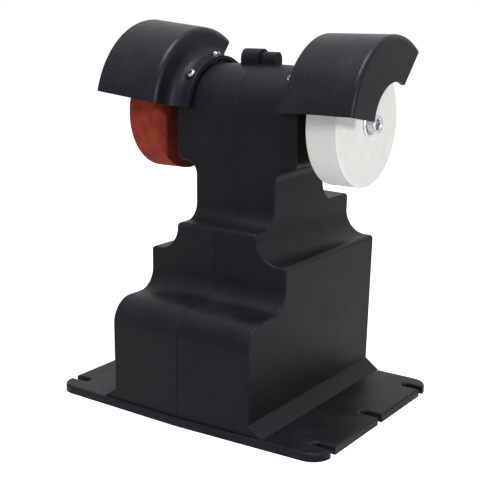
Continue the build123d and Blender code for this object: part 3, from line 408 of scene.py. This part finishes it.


# The dark colour given for the corners is painted shade, laid where ambient occlusion finds a corner.
def turned_metal(name, dark, light, roughness, feed=0.7, depth=0.004, metallic=1.0, painted_shade="#1c1d1f"):
    tree, shader = start_material(name, light, roughness, metallic=metallic)
    place = place_on_piece(tree, shift=(0, 0, -axle.z))
    rings = add(tree, "ShaderNodeTexWave",
                {"wave_type": "RINGS", "rings_direction": "X", "Scale": wave_cycle / (feed * mm),
                 "Distortion": ring_wander, "Detail": ring_detail}, {"Vector": place}).outputs["Fac"]
    cloud = add(tree, "ShaderNodeTexNoise", {"Scale": 1 / (steel_cloud * mm)} | grain_mix, {"Vector": place})
    colour = metal_with_painted_shade(tree, cloud, dark, light, steel_edges, steel_corner, painted_shade)
    dulled = cloudy_roughness(tree, cloud, roughness, steel_glossier)
    end_with_relief(tree, shader, colour, dulled, [(rings, depth)])


turned_metal("shaft_steel", "#55575a", "#8d9093", 0.25)
turned_metal("collar_steel", "#7d7f82", "#a9abae", 0.32)
turned_metal("bearing_steel", "#a9aaac", "#cfd0d1", 0.18)
turned_metal("ball_steel", "#c8c9ca", "#dcdddd", 0.08, depth=0.0)
turned_metal("commutator_copper", "#a8603a", "#c77a4e", 0.3, painted_shade="#3a1c10")
turned_metal("winding_copper", "#8e4a26", "#b5663a", 0.35, depth=0.2, painted_shade="#2c140a")
turned_metal("black_aluminium", "#1b1c1e", "#26272a", 0.4, metallic=0.6)
print("turned metals made")

# %% [markdown]
# Zinc plating is thin and bright with a bluish cast, and cloudy where the bath left it thicker. Its corners
# get painted shade, a dark colour laid where ambient occlusion finds them closed in. Stamped brass, cast
# aluminium and drawn steel differ in colour, cloud size and roughness, so they share the recipe. Their grain
# is too fine to show, and is drawn 0.5 mm wide, or 0.8 mm on the casting.

# %% Plated, cast and stamped metal
plate_edges = (0.4, 0.6)
plate_glossier = 0.06


# The dark colour given for the corners is painted shade, laid where ambient occlusion finds a corner.
def clouded_metal(name, dark, light, roughness, cloud_size=2.0, grain=0.5, depth=0.01, painted_shade="#15161a",
                  corner=1.2):
    tree, shader = start_material(name, light, roughness, metallic=1.0)
    place = place_on_piece(tree)
    cloud = add(tree, "ShaderNodeTexNoise", {"Scale": 1 / (cloud_size * mm)} | grain_mix, {"Vector": place})
    fine = add(tree, "ShaderNodeTexNoise", {"Scale": 1 / (grain * mm)} | grain_mix, {"Vector": place})
    colour = metal_with_painted_shade(tree, cloud, dark, light, plate_edges, corner, painted_shade)
    dulled = cloudy_roughness(tree, cloud, roughness, plate_glossier)
    end_with_relief(tree, shader, colour, dulled, [(fine, depth)])


clouded_metal("plated_nut", "#bcc2c9", "#f1f3f5", 0.33, cloud_size=2.4, corner=1.6)
clouded_metal("plated_screw", "#7d8085", "#dfe1e4", 0.18, cloud_size=1.0, corner=1.6)
clouded_metal("screw_steel", "#6f7073", "#a6a7aa", 0.3)
clouded_metal("can_steel", "#8a8d90", "#aeb1b4", 0.3, cloud_size=8.0)
clouded_metal("cast_aluminium", "#9c9ea0", "#bcbec0", 0.5, grain=0.8, depth=0.05, painted_shade="#3a3b3c")
clouded_metal("lamination_steel", "#6f7072", "#8d8e90", 0.4, cloud_size=0.6, depth=0.03)
clouded_metal("sheet_brass", "#a98a48", "#c9a85e", 0.28, painted_shade="#3b2d12")
clouded_metal("blade_brass", "#b09a62", "#cdb67c", 0.25, painted_shade="#3b3016")
print("finishes in all:", len(finishes))

# %% [markdown]
# Every measured piece names a material slot in its record, so one loop can dress them all.

# %% Dress the measured pieces
for entry in frame["record"]["subparts"]:
    node = nodes[entry["node"]]
    node.data.materials.clear()
    node.data.materials.append(finishes[entry["material_slot"]])

# %% [markdown]
# New pieces are modelled as by hand: a primitive is added at its size and place, its place goes into its
# mesh, and edit mode shapes it. An operator acts on all that is selected, so the selection is cleared
# first, and a helper then picks faces or edges by a test on their place and direction. Another merges a
# piece's doubled points, turns its faces outwards and hands it to the moving body that it rides on.

# %% Modelling helpers
same_point = 0.002 * mm
facing = 0.9


def settle(name, finish):
    piece = bpy.context.object
    piece.name = name
    bpy.ops.object.transform_apply(location=True, rotation=True, scale=True)
    piece.data.materials.clear()
    piece.data.materials.append(finishes[finish])
    return piece


def pick(piece, kind, test):
    bpy.ops.object.mode_set(mode="EDIT")
    bpy.ops.mesh.select_mode(type=kind)
    bpy.ops.mesh.select_all(action="DESELECT")
    shape = bmesh.from_edit_mesh(piece.data)
    for part in shape.faces if kind == "FACE" else shape.edges:
        if test(part):
            part.select_set(True)
    bmesh.update_edit_mesh(piece.data)


def finish_piece(piece, body, smooth_angle=35):
    bpy.ops.object.mode_set(mode="EDIT")
    bpy.ops.mesh.select_all(action="SELECT")
    bpy.ops.mesh.remove_doubles(threshold=same_point)
    bpy.ops.mesh.normals_make_consistent(inside=False)
    bpy.ops.object.mode_set(mode="OBJECT")
    bpy.ops.object.shade_smooth_by_angle(angle=math.radians(smooth_angle))
    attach(piece, body)
    print(piece.name, "has", len(piece.data.polygons), "faces")


def distance_from_axle(point):
    return math.hypot(point.y - axle.y, point.z - axle.z)


print("modelling helpers ready")

# %% [markdown]
# The red-brown wheel is a thick ring of coarse grit. Seen close, its edge is never a clean circle: grains
# have broken out of it. A plain disc with a rough material would keep a clean outline, so the ring is made
# by spinning its fine-meshed section about the axle, and the mesh itself is then roughened. In the
# photograph the wheel is 2.8 mm narrower on its inner side than the measured model, and a radius 0.25 mm
# smaller fits its edge best. So it is made so here, and a steel spacer fills the gap to the collar.

# %% The section of the red wheel
wheel_low, wheel_high = (Vector(corner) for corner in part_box("red_wheel"))
worn_off = 0.25 * mm
wheel_radius = (wheel_high.z - wheel_low.z) / 2 - worn_off
bore_radius = 5.0 * mm
inner_trim = 2.8 * mm
section_step = 0.8 * mm
inner_face = wheel_high.x - inner_trim
wheel_width = inner_face - wheel_low.x
section_height = wheel_radius - bore_radius
section_middle = (wheel_low.x + wheel_width / 2, axle.y, axle.z + bore_radius + section_height / 2)

bpy.ops.object.select_all(action="DESELECT")
bpy.ops.mesh.primitive_plane_add(size=1, location=section_middle, rotation=(math.radians(90), 0, 0))
bpy.context.object.scale = (wheel_width, section_height, 1)
red_wheel = settle("coarse_red_wheel", "red_abrasive")
bpy.ops.object.mode_set(mode="EDIT")
bpy.ops.mesh.select_all(action="SELECT")
bpy.ops.mesh.delete(type="ONLY_FACE")
bpy.ops.mesh.select_all(action="SELECT")
bpy.ops.mesh.subdivide(number_cuts=int(section_height / section_step))
print("section has", len(bmesh.from_edit_mesh(red_wheel.data).edges), "edges")

# %% [markdown]
# Spin turns the section once round the axle. Its ends meet, so the doubles are merged, and the normals are
# turned outwards, because spin can turn a shape inside out. Then a Displace modifier pushes the surface in
# and out by a cloudy pattern about 1.4 mm wide. Real grains stand 0.1 mm proud, drawn here at 0.25 mm, so
# that the outline shows them from this distance. Most of that goes inwards, so that the wheel keeps its
# size.

# %% Spin and roughen the red wheel
spin_steps = 300
grit_height = 0.25 * mm
grit_size = 1.4 * mm
grit_inwards = 0.7
bpy.ops.mesh.select_all(action="SELECT")
bpy.ops.mesh.spin(steps=spin_steps, angle=math.tau, center=tuple(axle), axis=(1, 0, 0))
finish_piece(red_wheel, "spindle", smooth_angle=50)
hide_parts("red_wheel")
grit = bpy.data.textures.new("grit", "CLOUDS")
grit.noise_scale = grit_size
rough = red_wheel.modifiers.new("roughness", "DISPLACE")
rough.texture = grit
rough.texture_coords = "LOCAL"
rough.strength = grit_height
rough.mid_level = grit_inwards
bpy.ops.object.modifier_apply(modifier=rough.name)
print("red wheel is", round(wheel_width / mm, 1), "mm wide")

# %% [markdown]
# The spacer is a plain turned steel washer between the collar and the wheel. A cylinder's two end faces are
# inset to the bore, the inset faces are bridged into a hole, and the outer edges get the small bevel that a
# turned washer has. It could be spun from its section as the wheel is, but this takes fewer steps.

# %% Spacer behind the red wheel
spacer_radius = 9.5 * mm
spacer_sides = 96
spacer_bevel = 0.3 * mm
bevel_steps = 2
outer_share = 0.99
same_plane = 0.01 * mm
across = (0, math.radians(90), 0)


def on_outer_edge(edge):
    first, second = (end.co for end in edge.verts)
    outside = min(distance_from_axle(first), distance_from_axle(second)) > spacer_radius * outer_share
    return outside and abs(first.x - second.x) < same_plane


bpy.ops.object.select_all(action="DESELECT")
bpy.ops.mesh.primitive_cylinder_add(vertices=spacer_sides, radius=spacer_radius, depth=inner_trim,
                                    location=(inner_face + inner_trim / 2, axle.y, axle.z), rotation=across)
spacer = settle("left_wheel_spacer", "collar_steel")
pick(spacer, "FACE", lambda face: abs(face.normal.x) > facing)
bpy.ops.mesh.inset(thickness=spacer_radius - bore_radius)
bpy.ops.mesh.bridge_edge_loops()
pick(spacer, "EDGE", on_outer_edge)
bpy.ops.mesh.bevel(offset=spacer_bevel, segments=bevel_steps)
finish_piece(spacer, "spindle")

# %% [markdown]
# The photograph shows a spark of light in a dark ring at the end of the spindle: its tip is domed and
# polished. The measured spindle ends flat, so a thin cap is added on each end. A cylinder's outer face is
# inset in steps, and each ring is moved out less than the one before, which makes a shallow dome. The last
# face goes inwards, for the small hole that the lathe's centre left.

# %% Domed tip of the spindle
spindle_low, spindle_high = (Vector(corner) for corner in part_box("spindle_shaft"))
tip_radius = 2.35 * mm
tip_sides = 48
rim_height = 0.2 * mm
tip_height = 0.5 * mm
dome_steps = 5
centre_hole = 0.45 * mm
bpy.ops.object.select_all(action="DESELECT")
bpy.ops.mesh.primitive_cylinder_add(vertices=tip_sides, radius=tip_radius, depth=rim_height,
                                    location=(spindle_high.x + rim_height / 2, axle.y, axle.z),
                                    rotation=across)
tip = settle("right_spindle_tip", "shaft_steel")
pick(tip, "FACE", lambda face: face.normal.x > facing)
height_before = 0.0
for step in range(1, dome_steps + 1):
    height_now = tip_height * (1 - ((dome_steps - step) / dome_steps) ** 2)
    bpy.ops.mesh.inset(thickness=(tip_radius - centre_hole) / dome_steps)
    bpy.ops.transform.translate(value=(height_now - height_before, 0, 0))
    height_before = height_now
bpy.ops.mesh.extrude_region_move(TRANSFORM_OT_translate={"value": (-tip_height, 0, 0)})
finish_piece(tip, "spindle")

# %% [markdown]
# The tip on the left is the same form, facing the other way. It is a copy with a mesh of its own, moved to
# the other end in edit mode and mirrored there by a negative scale. That turns its faces inside out, which
# the finishing helper puts right.

# %% The tip on the left
bpy.ops.object.select_all(action="DESELECT")
tip.select_set(True)
bpy.context.view_layer.objects.active = tip
bpy.ops.object.duplicate()
bpy.ops.object.mode_set(mode="EDIT")
bpy.ops.mesh.select_all(action="SELECT")
bpy.ops.transform.translate(value=(spindle_low.x - spindle_high.x, 0, 0))
bpy.ops.transform.resize(value=(-1, 1, 1), center_override=(spindle_low.x, axle.y, axle.z))
bpy.ops.object.mode_set(mode="OBJECT")
left_tip = settle("left_spindle_tip", "shaft_steel")
finish_piece(left_tip, "spindle")

# %% [markdown]
# A rocker switch is marked with a bar for on and a ring for off. On the real one they are moulded in white
# and stand a hair proud. The ring is on the upper half, which is pressed in while the grinder is off, and
# the bar on the lower half. Each mark finds its place by a ray that falls on the rocker's own surface, so
# it lies flat on the face that it marks.

# %% Where the marks sit on the rocker
rocker = nodes["switch_rocker"]
rocker_low, rocker_high = (Vector(corner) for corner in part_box("switch_rocker"))
half_height = (rocker_high.z - rocker_low.z) / 2
upper_half = 1
lower_half = -1
mark_share = 0.5
mark_proud = 0.12 * mm
mark_depth = 0.5 * mm
ray_clearance = 5 * mm


def mark_place(side):
    start = Vector((0, rocker_high.y + ray_clearance, rocker_low.z + half_height * (1 + side * mark_share)))
    spot, normal = rocker.ray_cast(start, Vector((0, -1, 0)))[1:3]
    return spot + normal * (mark_proud - mark_depth / 2), normal.to_track_quat("Z", "Y").to_euler(), normal


for side in (upper_half, lower_half):
    print("middle of a mark at", [round(value / mm, 1) for value in mark_place(side)[0]])

# %% [markdown]
# Both marks are placed by their middle, turned so that their flat side follows the rocker's surface. The
# ring is a cylinder with its ends inset and bridged, and the bar is a cube with rounded corners.

# %% Ring and bar
ring_radius = 1.5 * mm
ring_width = 0.45 * mm
ring_sides = 64
bar_length = 2.9 * mm
bar_width = 0.55 * mm
bar_rounding = 0.45 * bar_width
bar_corner_steps = 5

spot, turn, out = mark_place(upper_half)
bpy.ops.object.select_all(action="DESELECT")
bpy.ops.mesh.primitive_cylinder_add(vertices=ring_sides, radius=ring_radius, depth=mark_depth, location=spot,
                                    rotation=turn)
ring = settle("off_mark", "mark_white")
pick(ring, "FACE", lambda face: abs(face.normal.dot(out)) > facing)
bpy.ops.mesh.inset(thickness=ring_width)
bpy.ops.mesh.bridge_edge_loops()
finish_piece(ring, "rocker")

spot, turn, out = mark_place(lower_half)
bpy.ops.object.select_all(action="DESELECT")
bpy.ops.mesh.primitive_cube_add(size=1, location=spot, rotation=turn)
bpy.context.object.scale = (bar_width, bar_length, mark_depth)
bar = settle("on_mark", "mark_white")
pick(bar, "EDGE", lambda edge: abs((edge.verts[0].co - edge.verts[1].co).normalized().dot(out)) > facing)
bpy.ops.mesh.bevel(offset=bar_rounding, segments=bar_corner_steps)
finish_piece(bar, "rocker")

# %% [markdown]
# The floor is one large plain sheet. The camera, and whatever mirrors the room, should see it as the same
# white as the background, while the object still needs its soft shadow on it. So the floor mixes a plain
# diffuse white with a little light of its own, for those rays only. It is weaker near the object, where the
# lamps light the floor and the shadow should show, and mirroring rays get hardly any of it.

# %% Floor
floor_size = 12
lift_near = 0.5
lift_far = 0.88
lift_reach = 1.2
mirror_lift_share = 0.02
bpy.ops.object.select_all(action="DESELECT")
bpy.ops.mesh.primitive_plane_add(size=floor_size, location=(0, 0, 0))
floor = bpy.context.object
floor.name = "studio_floor"
paint, floor_shader = start_material("painted studio floor", "#f2f2f2", 0.9, specular=0.0)
eye = add(paint, "ShaderNodeLightPath").outputs
mirrors = add(paint, "ShaderNodeMath", {"operation": "MAXIMUM"},
              {0: eye["Is Glossy Ray"], 1: eye["Is Transmission Ray"]})
dimmed = add(paint, "ShaderNodeMath", {"operation": "MULTIPLY", 1: mirror_lift_share}, {0: mirrors})
seen = add(paint, "ShaderNodeMath", {"operation": "ADD"}, {0: eye["Is Camera Ray"], 1: dimmed})
spread = place_on_piece(paint, scale=[1 / lift_reach] * 3)
nearness = add(paint, "ShaderNodeTexGradient", {"gradient_type": "SPHERICAL"}, {"Vector": spread})
strength = add(paint, "ShaderNodeMapRange", {"To Min": lift_far, "To Max": lift_near},
               {"Value": nearness.outputs["Fac"]})
lift = add(paint, "ShaderNodeMath", {"operation": "MULTIPLY"}, {0: seen, 1: strength})
glow = add(paint, "ShaderNodeEmission", {"Color": linear("#ffffff")}, {"Strength": lift})
lit = add(paint, "ShaderNodeAddShader", {}, {0: floor_shader, 1: glow})
link(paint, lit, paint.nodes["Material Output"], "Surface")
floor.data.materials.append(finishes["painted studio floor"])
print("floor of", round(floor.dimensions.x), "m")

# %% [markdown]
# The world is an even white room. For the camera and for mirroring rays it is plain white, as the
# photograph's background. For the light that it sheds on the object it is dimmer, so that shadows keep some
# depth.

# %% World light
room_fill = 0.18
backdrop_white = 1.0
world = bpy.data.worlds.new("studio")
bpy.context.scene.world = world
world.use_nodes = True
room = world.node_tree
room.nodes.clear()
rays = add(room, "ShaderNodeLightPath").outputs
direct = add(room, "ShaderNodeMath", {"operation": "MAXIMUM"},
             {0: rays["Is Camera Ray"], 1: rays["Is Glossy Ray"]})
looked_at = add(room, "ShaderNodeMath", {"operation": "MAXIMUM"}, {0: direct, 1: rays["Is Transmission Ray"]})
fill = add(room, "ShaderNodeBackground", {"Color": linear("#ffffff"), "Strength": room_fill})
backdrop = add(room, "ShaderNodeBackground", {"Color": linear("#ffffff"), "Strength": backdrop_white})
both = add(room, "ShaderNodeMixShader", {}, {0: looked_at, 1: fill, 2: backdrop})
add(room, "ShaderNodeOutputWorld", {}, {"Surface": both})
print("room nodes:", len(room.nodes))

# %% [markdown]
# Two soft lamps shape the object. The photograph has its bright side on the right, with a line of light
# along every rounded edge that faces that way, and soft light from above. The right-hand lamp stands 65
# degrees round to the right of the front and 19 degrees up, which was found from the sharp edge of shadow
# on the red wheel. A smaller lamp gives crisper lines and darker gaps than a large one of the same power,
# so the sizes were matched to the photograph's shadows.

# %% Soft lamps
def soft_lamp(name, place, aim, size, watts):
    lamp = bpy.data.lights.new(name, "AREA")
    lamp.shape = "SQUARE"
    lamp.size = size
    lamp.energy = watts
    holder = bpy.data.objects.new(name, lamp)
    bpy.context.scene.collection.objects.link(holder)
    holder.location = place
    holder.rotation_euler = (Vector(aim) - Vector(place)).to_track_quat("-Z", "Y").to_euler()


middle_of_object = (0, 0, 0.12)
soft_lamp("right_softbox", place=(1.59, -0.74, 0.72), aim=middle_of_object, size=0.3, watts=14.2)
soft_lamp("top_softbox", place=(0.1, -0.2, 1.8), aim=middle_of_object, size=0.8, watts=34)
print("lamps:", len(bpy.data.lights))
